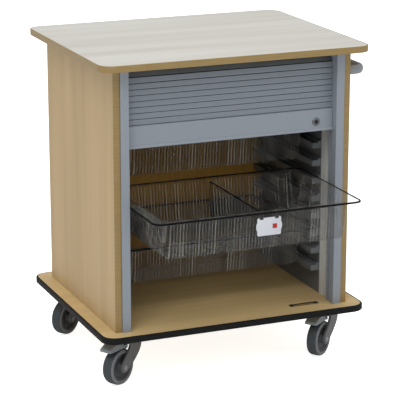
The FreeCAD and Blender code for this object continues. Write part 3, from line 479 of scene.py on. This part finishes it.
def slat_plastic(name, tone):
    """Extruded polypropylene: matt, with faint die lines along its length; a darker copy paints the
    worktop's shade on the slats in the bend.
    """
    material, tree, shader = new_material(name, tone, 0.5, IOR=1.49)
    lines = noise(tree, object_pattern(tree, cells(300, 1.5, 1.5)), detail=2.0)
    stops = [(0.3, shade_of(tone, 0.93)), (0.7, shade_of(tone, 1.05))]
    tree.links.new(ramp(tree, lines, stops), shader.inputs["Base Color"])
    add_bump(tree, shader, lines, 0.03)
    return material


def joint_shadow(setup):
    """Painted shade in the joints: the slats' faces towards each other are made near black and dull, with an
    uneven roughness.
    """
    material, tree, shader = new_material("slat_joint", setup.joint, 0.8)
    dust = noise(tree, object_pattern(tree, cells(6, 6, 6)), detail=2.0)
    varied_roughness(tree, shader, dust, 0.7, 0.9)
    return material


def plated_metal(name, tone, roughness):
    """Nickel-plated zinc casting: a metal with a soft, slightly uneven polish."""
    material, tree, shader = new_material(name, tone, roughness, Metallic=1.0)
    cast = noise(tree, object_pattern(tree, cells(3, 3, 3)), detail=3.0)
    varied_roughness(tree, shader, cast, roughness * 0.8, roughness * 1.3)
    return material


def slat_form(setup, half_length):
    """One slat lying along X, with its two front edges rounded and a joint's width off its pitch."""
    deselect()
    bpy.ops.mesh.primitive_cube_add(size=1.0)
    slat = bpy.context.object
    slat.scale = (2 * half_length, setup.slat_thickness, setup.slat_pitch - setup.slat_joint)
    bpy.ops.object.transform_apply(scale=True)
    bpy.ops.object.mode_set(mode="EDIT")
    bpy.ops.mesh.select_all(action="DESELECT")
    mesh = bmesh.from_edit_mesh(slat.data)
    for edge in mesh.edges:
        ends = [vertex.co for vertex in edge.verts]
        edge.select_set(all(end.y < 0 for end in ends) and ends[0].x * ends[1].x < 0)
    mesh.select_flush_mode()
    bmesh.update_edit_mesh(slat.data)
    bpy.ops.mesh.bevel(offset=setup.slat_round, segments=3)
    bpy.ops.object.mode_set(mode="OBJECT")
    return slat


def curtain_place(distance, low, high, setup):
    """The point and turn of the curtain's path, measured up from its lower end."""
    radius = setup.bend_radius
    half = setup.slat_thickness / 2
    front = low.y + half
    back = high.y - half
    bend_z = high.z - half - radius
    straight = bend_z - low.z
    quarter = radius * math.pi / 2
    top = back - front - 2 * radius
    if distance < straight:
        return front, low.z + distance, 0.0
    distance -= straight
    if distance < quarter:
        turn = distance / radius
        return front + radius * (1 - math.cos(turn)), bend_z + radius * math.sin(turn), -turn
    distance -= quarter
    if distance < top:
        return front + radius + distance, bend_z + radius, -math.pi / 2
    distance -= top
    if distance < quarter:
        turn = distance / radius
        return back - radius * (1 - math.sin(turn)), bend_z + radius * math.cos(turn), -math.pi / 2 - turn
    return back, bend_z - (distance - quarter), -math.pi


def curtain_length(low, high, setup):
    """The curtain's length, from its lower end to where the hidden tail ends behind the false back."""
    half = setup.slat_thickness / 2
    bend_z = high.z - half - setup.bend_radius
    span = high.y - low.y - 2 * half - 2 * setup.bend_radius
    return bend_z - low.z + setup.bend_radius * math.pi + span + HIDDEN_TAIL


class TRAYUNIT_OT_shutter(bpy.types.Operator):
    """Model the slatted curtain and finish its rail, lock, posts and tracks"""

    bl_idname = "tray_unit.shutter"
    bl_label = "Shutter"

    def execute(self, context):
        setup = settings("shutter")
        low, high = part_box("tambour_slats")
        middle = (low.x + high.x) / 2
        slat = slat_form(setup, (high.x - low.x) / 2)
        count = round(curtain_length(low, high, setup) / setup.slat_pitch)
        slats = []
        in_bend_shade = []
        for number in range(count):
            y, z, turn = curtain_place((number + 0.5) * setup.slat_pitch, low, high, setup)
            place = Matrix.Translation((middle, y, z)) @ Matrix.Rotation(turn, 4, "X")
            slats.append(copy_at(slat, place))
            in_bend_shade.append(turn < -BEND_SHADE_TURN)
        in_joint = [abs(face.normal.z) > FACES_ALONG for face in slat.data.polygons]
        bpy.data.objects.remove(slat, do_unlink=True)
        plastic = slat_plastic("grey_slats", setup.slat)
        curtain = settle(join_pieces(slats), "slat_curtain", plastic)
        curtain.data.materials.append(joint_shadow(setup))
        # Third slot: the darker slat plastic that paints the worktop's shade on the slats in the bend.
        curtain.data.materials.append(slat_plastic("slats_painted_bend_shade", setup.in_bend_shade))
        # Faces in the joints take the near-black painted shade; the other faces take the slat grey, or the
        # painted shade of the bend.
        for face in curtain.data.polygons:
            number, part = divmod(face.index, len(in_joint))
            face.material_index = 1 if in_joint[part] else 2 * in_bend_shade[number]
        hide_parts("tambour_slats")
        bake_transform(curtain)
        coated = extruded_aluminium("grey_powder_coat", setup.rail)
        dress(coated, "track_post_left", "track_post_right", "lock_rail")
        dress(plastic, "curtain_track_left", "curtain_track_right", "rail_end_glides")
        dress(plated_metal("nickel_plate", setup.lock, 0.3), "lock_housing", "lock_cam", "strike_plate")
        dress(plated_metal("lock_plug_metal", setup.plug, 0.35), "lock_plug")
        return {"FINISHED"}


# Trays -----------------------------------------------------------------------------------------

LINE_SPREAD = 0.4  # how much the painted highlight lines depend on Y, against X: the less, the further apart
LINE_START = 0.72  # the wave's value at which a line begins: the higher, the thinner
PATCH = 3.3  # painted highlight lines in one patch of even strength
PATCH_TONES = {"From Min": 0.35, "From Max": 0.68, "To Min": 0.3, "To Max": 1.0}
WAVE_PERIOD = math.pi / 10  # length of one period of the wave texture at a scale of 1
LIGHT_EDGE_FADE = 0.5 * MM  # width over which the painted light along the front edge ends

RIM_WIDTHS = {"side": 33 * MM, "front": 20 * MM, "rear": 33 * MM}
RIM_CORNER = 25 * MM
RIM_LINE = 2.6 * MM  # width of the dark line round a rim
RIM_BAND = 8 * MM  # how far below a tray's top that line may reach
SHEET_INSET = 1 * MM  # how far the modelled sheet lies inside the tray's box
TUB_CORNER = 22 * MM
FLOOR_ROUND = 9 * MM
FLOOR_STEPS = 4
FLOOR_INSET = 20 * MM
DRAFT = 5 * MM
WALL_SHARES = (0.06, 0.5, 0.97)  # where the wall has a row, as shares of its height
NECK_INSET = 0.1 * MM  # the narrow place between the flutes and the shoulder
NECK_DROP = 14 * MM
SHOULDER = ((-0.6, 12.5), (-1.0, 3.5), (-2.0, 1.0), (-4.5, 0.0))  # inset on the tub and drop, in mm
RIM = ((5.0, 0.0), (4.2, 0.9), (3.0, 0.9), (2.0, 0.0), (1.1, 0.4), (1.0, 2.8))  # the same, on the rim
CORNER_FLUTES = 3
FLUTE_SHAPE = ((0.0, 0.0), (0.14, 1.0), (0.46, 1.0), (0.60, 0.0))  # share of the pitch, and of the depth
FLUTE_DEPTHS = (1.0, 0.45, 0.45, 0.75, 0.45, 0.45)  # every third flute stands out further
FLOOR_FLUTE = 0.15  # how much more of a flute each row of the floor's round takes
DIVIDER_BAR = 2 * MM  # height of the dark line along the divider's top
SAME_PLACE = 1e-6


def painted_glint_lines(tree, pitch):
    """Painted highlights: thin upright lines of uneven strength, closer together along X than along Y."""
    place = add_node(tree, "ShaderNodeTexCoord")
    split = add_node(tree, "ShaderNodeSeparateXYZ", links={"Vector": place.outputs["Object"]})
    along = add_node(tree, "ShaderNodeMath", {"operation": "MULTIPLY_ADD"})
    tree.links.new(split.outputs["Y"], along.inputs[0])
    along.inputs[1].default_value = LINE_SPREAD
    tree.links.new(split.outputs["X"], along.inputs[2])
    flat = add_node(tree, "ShaderNodeCombineXYZ", links={"X": along.outputs["Value"]})
    inputs = {"Scale": WAVE_PERIOD / pitch}
    wave = add_node(tree, "ShaderNodeTexWave", inputs=inputs, links={"Vector": flat.outputs["Vector"]})
    inputs = {"Scale": 1 / (PATCH * pitch), "Detail": 2.0}
    links = {"W": along.outputs["Value"]}
    patches = add_node(tree, "ShaderNodeTexNoise", {"noise_dimensions": "1D"}, inputs, links)
    links = {"Value": patches.outputs["Fac"]}
    strength = add_node(tree, "ShaderNodeMapRange", inputs=PATCH_TONES, links=links).outputs["Result"]
    inputs = {"From Min": LINE_START}
    links = {"Value": wave.outputs["Fac"], "To Max": strength}
    return add_node(tree, "ShaderNodeMapRange", inputs=inputs, links=links).outputs["Result"]


def clear_plastic(name, setup, streaked):
    """Moulded clear polycarbonate: seen through where it faces the eye, smoky where it turns away.

    Bright upright streaks of uneven strength are painted highlights, in place of the light that the flutes
    catch.
    """
    material, tree, shader = new_material(name, setup.clear, 0.12, IOR=1.4)
    turned = add_node(tree, "ShaderNodeLayerWeight", inputs={"Blend": 0.12})
    inputs = {"To Min": setup.facing, "To Max": setup.grazing}
    links = {"Value": turned.outputs["Facing"]}
    cover = add_node(tree, "ShaderNodeMapRange", inputs=inputs, links=links).outputs["Result"]
    mask = painted_glint_lines(tree, setup.streak_pitch)
    total = add_node(tree, "ShaderNodeMath", {"operation": "MULTIPLY_ADD", "use_clamp": True})
    tree.links.new(mask, total.inputs[0])
    total.inputs[1].default_value = streaked
    tree.links.new(cover, total.inputs[2])
    tree.links.new(total.outputs["Value"], shader.inputs["Alpha"])
    # Painted highlight: the colour goes from the clear tint to the streak colour along the lines.
    tint = blended(tree, mask, (*setup.clear, 1.0), (*setup.streak, 1.0))
    tree.links.new(tint, shader.inputs["Base Color"])
    varied_roughness(tree, shader, mask, 0.08, 0.2)
    return material


def moulded_abs(name, tone, roughness):
    """Moulded ABS or nylon: satin, with the fine spark texture of its mould."""
    material, tree, shader = new_material(name, tone, roughness, IOR=1.53)
    grit = noise(tree, object_pattern(tree, cells(0.8, 0.8, 0.8)), detail=2.0)
    cloud = noise(tree, object_pattern(tree, cells(60, 60, 60)), detail=3.0)
    stops = [(0.3, shade_of(tone, 0.93)), (0.7, shade_of(tone, 1.05))]
    tree.links.new(ramp(tree, cloud, stops), shader.inputs["Base Color"])
    varied_roughness(tree, shader, cloud, roughness * 0.85, roughness * 1.15)
    add_bump(tree, shader, grit, 0.04)
    return material


def trapped_light(setup):
    """The outer edge of clear sheet: it traps the light, so it looks nearly black."""
    return new_material("dark_rim_edge", setup.rim_line, 0.5, Specular_IOR_Level=0.1)[0]


def painted_light_edge_abs(setup, edge_y):
    """The runner panel's ABS, with painted light on a pale strip along its front edge."""
    material = moulded_abs("panel_abs_painted_light_edge", setup.panel, 0.45)
    tree = material.node_tree
    shader = tree.nodes["Principled BSDF"]
    place = add_node(tree, "ShaderNodeTexCoord")
    split = add_node(tree, "ShaderNodeSeparateXYZ", links={"Vector": place.outputs["Object"]})
    inputs = {"From Min": edge_y + setup.lip, "From Max": edge_y + setup.lip + LIGHT_EDGE_FADE}
    links = {"Value": split.outputs["Y"]}
    behind = add_node(tree, "ShaderNodeMapRange", inputs=inputs, links=links).outputs["Result"]
    panel = shader.inputs["Base Color"].links[0].from_socket
    tree.links.new(blended(tree, behind, (*setup.front, 1.0), panel), shader.inputs["Base Color"])
    return material


def outline_stations(setup, width, length):
    """Stations round the tub as (segment, share of the segment, how far out), with flutes all the way."""
    stations = []
    for segment in range(8):
        side, corner = divmod(segment, 2)
        run = (width if side % 2 == 0 else length) - 2 * TUB_CORNER
        count = CORNER_FLUTES if corner else round(run / setup.flute_pitch)
        for number in range(count):
            depth = setup.flute_depth * FLUTE_DEPTHS[number % len(FLUTE_DEPTHS)]
            stations += [(segment, (number + share) / count, depth * out) for share, out in FLUTE_SHAPE]
    return stations


def outline_point(station, x0, x1, y0, y1, radius, flute):
    """A station on a rounded rectangle, pushed out by its share of the flute."""
    segment, share, out = station
    right = x1 - radius
    left = x0 + radius
    near = y0 + radius
    far = y1 - radius
    corners = [(right, near), (right, far), (left, far), (left, near)]
    side, is_corner = divmod(segment, 2)
    start = math.radians(90 * side - 90)
    reach = radius + out * flute
    if is_corner:
        angle = start + share * math.pi / 2
        return corners[side][0] + reach * math.cos(angle), corners[side][1] + reach * math.sin(angle)
    before = corners[side - 1]
    after = corners[side]
    x = before[0] + (after[0] - before[0]) * share + math.cos(start) * reach
    y = before[1] + (after[1] - before[1]) * share + math.sin(start) * reach
    return x, y


def tray_rows(low, high):
    """The tray's rows, up its wall and over its rim, as (x0, x1, y0, y1, radius, z, flute)."""
    side = RIM_WIDTHS["side"]
    tub = (low.x + side, high.x - side, low.y + RIM_WIDTHS["front"], high.y - RIM_WIDTHS["rear"])
    rim = (low.x, high.x, low.y, high.y)
    top = high.z - SHEET_INSET
    wall_bottom = low.z + FLOOR_ROUND
    wall_top = top - NECK_DROP
    rows = []

    def add(bounds, inset, radius, z, flute):
        x0, x1, y0, y1 = bounds
        rows.append((x0 + inset, x1 - inset, y0 + inset, y1 - inset, radius, z, flute))

    for step in range(FLOOR_STEPS + 1):
        angle = math.radians(90 / FLOOR_STEPS * step)
        drawn_in = FLOOR_ROUND * (1 - math.sin(angle))
        z = low.z + SHEET_INSET + FLOOR_ROUND * (1 - math.cos(angle))
        add(tub, DRAFT + drawn_in, TUB_CORNER - drawn_in / 2, z, FLOOR_FLUTE * step)
    for share in WALL_SHARES:
        add(tub, DRAFT * (1 - share), TUB_CORNER, wall_bottom + (wall_top - wall_bottom) * share, 1.0)
    add(tub, NECK_INSET, TUB_CORNER, wall_top, 0.5)
    for inset, drop in SHOULDER:
        add(tub, inset * MM, TUB_CORNER, top - drop * MM, 0.0)
    for inset, drop in RIM:
        add(rim, inset * MM, RIM_CORNER - inset * MM, top - drop * MM, 0.0)
    return rows


def tray_sheet(node, setup):
    """A tray as one sheet: a grid wrapped round the tub and over the rim, with its floor filled."""
    low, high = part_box(node)
    rows = tray_rows(low, high)
    stations = outline_stations(setup, rows[-1][1] - rows[-1][0], rows[-1][3] - rows[-1][2])
    count = len(stations)
    deselect()
    bpy.ops.mesh.primitive_grid_add(x_subdivisions=count, y_subdivisions=len(rows) - 1, size=2.0)
    tray = bpy.context.object
    for vertex in tray.data.vertices:
        column = round((vertex.co.x + 1) / 2 * count) % count
        row = rows[round((vertex.co.y + 1) / 2 * (len(rows) - 1))]
        x, y = outline_point(stations[column], *row[:5], row[6])
        vertex.co = (x, y, row[5])
    select_only(tray)
    bpy.ops.object.mode_set(mode="EDIT")
    bpy.ops.mesh.select_all(action="SELECT")
    bpy.ops.mesh.remove_doubles(threshold=SAME_PLACE)
    bpy.ops.mesh.select_all(action="DESELECT")
    mesh = bmesh.from_edit_mesh(tray.data)
    floor_z = rows[0][5]
    for edge in mesh.edges:
        edge.select_set(all(abs(vertex.co.z - floor_z) < SAME_PLACE for vertex in edge.verts))
    mesh.select_flush_mode()
    bmesh.update_edit_mesh(tray.data)
    bpy.ops.mesh.edge_face_add()
    bpy.ops.mesh.inset(thickness=FLOOR_INSET, depth=0.0)
    bpy.ops.mesh.select_all(action="SELECT")
    bpy.ops.mesh.normals_make_consistent(inside=False)
    bpy.ops.object.mode_set(mode="OBJECT")
    thick = tray.modifiers.new("Wall", "SOLIDIFY")
    thick.thickness = setup.wall
    thick.offset = 1.0
    apply_modifiers(tray)
    return tray


def line_rim(tray, node, material):
    """Gives the outer edge of a tray's rim its dark line."""
    low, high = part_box(node)
    tray.data.materials.append(material)
    for face in tray.data.polygons:
        centre = face.center
        reach = min(centre.x - low.x, high.x - centre.x, centre.y - low.y, high.y - centre.y)
        corner = math.hypot(
            max(0.0, abs(centre.x - (low.x + high.x) / 2) - (high.x - low.x) / 2 + RIM_CORNER),
            max(0.0, abs(centre.y - (low.y + high.y) / 2) - (high.y - low.y) / 2 + RIM_CORNER),
        )
        outer = min(reach, RIM_CORNER - corner)
        face.material_index = int(outer < RIM_LINE and centre.z > high.z - RIM_BAND)


class TRAYUNIT_OT_trays(bpy.types.Operator):
    """Model the three clear trays with their flutes, and finish what they run on and hold"""

    bl_idname = "tray_unit.trays"
    bl_label = "Trays"

    def execute(self, context):
        setup = settings("trays")
        fluted = clear_plastic("fluted_polycarbonate", setup, setup.streak_cover)
        clear = clear_plastic("clear_polycarbonate", setup, 0.0)
        line = trapped_light(setup)
        for name in TRAYS:
            node = "tray_" + name
            tray = settle(tray_sheet(node, setup), "ribbed_tray_" + name, fluted)
            line_rim(tray, node, line)
            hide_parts(node)
            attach(tray, name + "_tray")
        bar_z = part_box("tray_divider")[1].z - DIVIDER_BAR
        looks = (clear, line)
        parted_copy("tray_divider", "divider_plate", "middle_tray", looks, lambda c, n: int(c.z > bar_z))
        # The panel grey is darkened partly as painted shade inside the cabinet.
        panel = moulded_abs("runner_panel_abs", setup.panel, 0.45)
        # Faces towards the front take lighter copies of the grey: painted light on the panel fronts and the
        # runner caps.
        fronts = {
            "tray_liner_": moulded_abs("panel_front_abs", setup.front, 0.4),
            "tray_runners_": moulded_abs("runner_cap_abs", setup.cap, 0.4),
        }
        light_edged = painted_light_edge_abs(setup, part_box("tray_liner_left")[0].y)
        sides = {"tray_liner_": light_edged, "tray_runners_": panel}
        for side in SIDES:
            for stem, front in fronts.items():
                node = stem + side
                looks = (sides[stem], front)
                parted_copy(node, node + "_faced", "carcass", looks, lambda c, n: int(n.y < -FACES_ALONG))
        dress(moulded_abs("label_abs", setup.label, 0.35), "label_holder")
        dress(clear, "label_clips")
        dress(moulded_abs("label_mark", setup.tab, 0.4), "label_tab")
        return {"FINISHED"}


# Casters and handle ----------------------------------------------------------------------------

UPRIGHT = 0.01  # a face whose normal rises less than this stands upright
SIDE_FACING = 0.5  # a tyre's face whose normal points this far along the axle is its sidewall


def elastic_rubber(name, tone):
    """Elastic rubber: matt, with dust in its fine moulded texture."""
    material, tree, shader = new_material(name, tone, 0.65, IOR=1.5)
    dust = noise(tree, object_pattern(tree, cells(9, 9, 9)), detail=6.0, roughness=0.65)
    stops = [(0.35, tone), (0.75, shade_of(tone, 1.3))]
    tree.links.new(ramp(tree, dust, stops), shader.inputs["Base Color"])
    varied_roughness(tree, shader, dust, 0.55, 0.8)
    add_bump(tree, shader, dust, 0.08)
    return material


def axle_direction(node):
    """The direction of a wheel's axle: the level normal that most of its faces' area shares."""
    areas = {}
    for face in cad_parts[node].data.polygons:
        normal = face.normal if face.normal.x > 0 else -face.normal
        if abs(normal.z) < UPRIGHT:
            key = (round(normal.x, 2), round(normal.y, 2))
            areas[key] = areas.get(key, 0.0) + face.area
    return Vector((*max(areas, key=areas.get), 0.0))


class TRAYUNIT_OT_casters(bpy.types.Operator):
    """Finish the casters, their brakes and the push handle"""

    bl_idname = "tray_unit.casters"
    bl_label = "Casters and handle"

    def execute(self, context):
        setup = settings("casters")
        tread = elastic_rubber("tread_rubber", setup.tread)
        sidewall = elastic_rubber("sidewall_rubber", setup.sidewall)
        core = moulded_abs("wheel_nylon", setup.core, 0.5)
        fork = moulded_abs("housing_nylon", setup.fork, 0.45)
        steel = plated_metal("zinc_plate", linear("9A9B9D"), 0.4)
        for place in CASTERS:
            node = "tyre_" + place
            axle = axle_direction(node)
            looks = (tread, sidewall)
            body = "wheel_" + place
            parted_copy(node, node + "_faced", body, looks, lambda c, n: int(abs(n.dot(axle)) > SIDE_FACING))
            dress(core, "wheel_core_" + place)
            dress(fork, "caster_fork_" + place)
            dress(steel, "caster_axle_" + place)
        pedal = moulded_abs("pedal_nylon", setup.pedal, 0.45)
        for place in BRAKED:
            dress(pedal, "brake_pedal_" + place)
        dress(steel, "caster_plates", "caster_bolts")
        dress(moulded_abs("handle_coat", setup.handle, 0.4), "push_handle")
        return {"FINISHED"}


# Stage -----------------------------------------------------------------------------------------

# Metres from the floor below the middle of the worktop's front edge, and degrees.
CAMERA_OFFSET = (-1.970, -4.432, 1.843)
CAMERA_YAW = 22.669
CAMERA_PITCH = 15.502
KEY_PLACE = (-2.0, -2.4, 4.2)
KEY_SIZE = 2.6
FILL_PLACE = (3.0, -2.6, 2.0)
FILL_SIZE = 2.4
LIT_POINT = (0, 0, 0.5)
FLOOR_SIZE = 60.0
FLOOR_Z = -0.0005


def look_at(place, target):
    return (Vector(target) - Vector(place)).to_track_quat("-Z", "Y").to_euler()


def add_lamp(name, place, size, power):
    bpy.ops.object.light_add(type="AREA", location=place, rotation=look_at(place, LIT_POINT))
    lamp = bpy.context.object
    lamp.name = name
    lamp.data.shape = "DISK"
    lamp.data.size = size
    lamp.data.energy = power


def studio_world(setup):
    """White to the camera; as light, brighter from above than from the sides."""
    world = bpy.data.worlds.new("Studio")
    bpy.context.scene.world = world
    world.use_nodes = True
    tree = world.node_tree
    way = add_node(tree, "ShaderNodeTexCoord")
    height = add_node(tree, "ShaderNodeSeparateXYZ", links={"Vector": way.outputs["Generated"]})
    inputs = {"To Min": setup.horizon, "To Max": setup.zenith}
    sky = add_node(tree, "ShaderNodeMapRange", inputs=inputs, links={"Value": height.outputs["Z"]})
    seen = add_node(tree, "ShaderNodeLightPath").outputs["Is Camera Ray"]
    links = {"Value": seen, "To Min": sky.outputs["Result"]}
    level = add_node(tree, "ShaderNodeMapRange", links=links)
    tree.links.new(level.outputs["Result"], tree.nodes["Background"].inputs["Strength"])
    tree.nodes["Background"].inputs["Color"].default_value = (1.0, 1.0, 1.0, 1.0)


def studio_floor(setup):
    """A white floor that glows to the camera, so that it is white and keeps a trace of shadow."""
    deselect()
    bpy.ops.mesh.primitive_plane_add(size=FLOOR_SIZE, location=(0, 0, FLOOR_Z))
    floor = bpy.context.object
    floor.name = "studio_floor"
    material, tree, shader = new_material("white_floor", (0.9, 0.9, 0.9), 0.9)
    links = {"Value": add_node(tree, "ShaderNodeLightPath").outputs["Is Camera Ray"]}
    glow = add_node(tree, "ShaderNodeMapRange", inputs={"To Max": setup.floor_glow}, links=links)
    tree.links.new(glow.outputs["Result"], shader.inputs["Emission Strength"])
    shader.inputs["Emission Color"].default_value = (1.0, 1.0, 1.0, 1.0)
    floor.data.materials.append(material)


class TRAYUNIT_OT_stage(bpy.types.Operator):
    """Set the floor, the light and the camera"""

    bl_idname = "tray_unit.stage"
    bl_label = "Stage"

    def execute(self, context):
        setup = settings("studio")
        context.scene.view_settings.view_transform = "Standard"
        studio_world(setup)
        studio_floor(setup)
        add_lamp("key", KEY_PLACE, KEY_SIZE, setup.key_power)
        add_lamp("fill", FILL_PLACE, FILL_SIZE, setup.fill_power)
        tilt = math.radians(90 - CAMERA_PITCH)
        low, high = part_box("worktop_edging")
        place = Vector(((low.x + high.x) / 2, low.y, 0.0)) + Vector(CAMERA_OFFSET)
        bpy.ops.object.camera_add(location=place, rotation=(tilt, 0, -math.radians(CAMERA_YAW)))
        camera = context.object
        camera.data.sensor_width = 36.0
        camera.data.lens = setup.lens
        camera.data.clip_end = 100.0
        context.scene.camera = camera
        return {"FINISHED"}


# Add-on ----------------------------------------------------------------------------------------

OPERATORS = (
    TRAYUNIT_OT_boards,
    TRAYUNIT_OT_shutter,
    TRAYUNIT_OT_trays,
    TRAYUNIT_OT_casters,
    TRAYUNIT_OT_stage,
)


class TRAYUNIT_PT_panel(bpy.types.Panel):
    """Lists the steps that dress the unit, with their settings"""

    bl_idname = "TRAYUNIT_PT_panel"
    bl_label = "Tray storage unit"
    bl_space_type = "VIEW_3D"
    bl_region_type = "UI"
    bl_category = "Tray unit"

    def draw(self, context):
        for operator in OPERATORS:
            self.layout.operator(operator.bl_idname)
        for name, group in SETTINGS.items():
            box = self.layout.box()
            box.label(text=name.capitalize())
            for key in group.__annotations__:
                box.prop(settings(name), key)


def register():
    for group in SETTINGS.values():
        bpy.utils.register_class(group)
    for name, group in SETTINGS.items():
        setattr(bpy.types.Scene, "tray_unit_" + name, bpy.props.PointerProperty(type=group))
    for operator in OPERATORS:
        bpy.utils.register_class(operator)
    bpy.utils.register_class(TRAYUNIT_PT_panel)


def unregister():
    bpy.utils.unregister_class(TRAYUNIT_PT_panel)
    for operator in reversed(OPERATORS):
        bpy.utils.unregister_class(operator)
    for name, group in SETTINGS.items():
        delattr(bpy.types.Scene, "tray_unit_" + name)
        bpy.utils.unregister_class(group)


def main():
    register()
    bpy.ops.tray_unit.boards()
    bpy.ops.tray_unit.shutter()
    bpy.ops.tray_unit.trays()
    bpy.ops.tray_unit.casters()
    bpy.ops.tray_unit.stage()


if __name__ == "__main__":
    main()
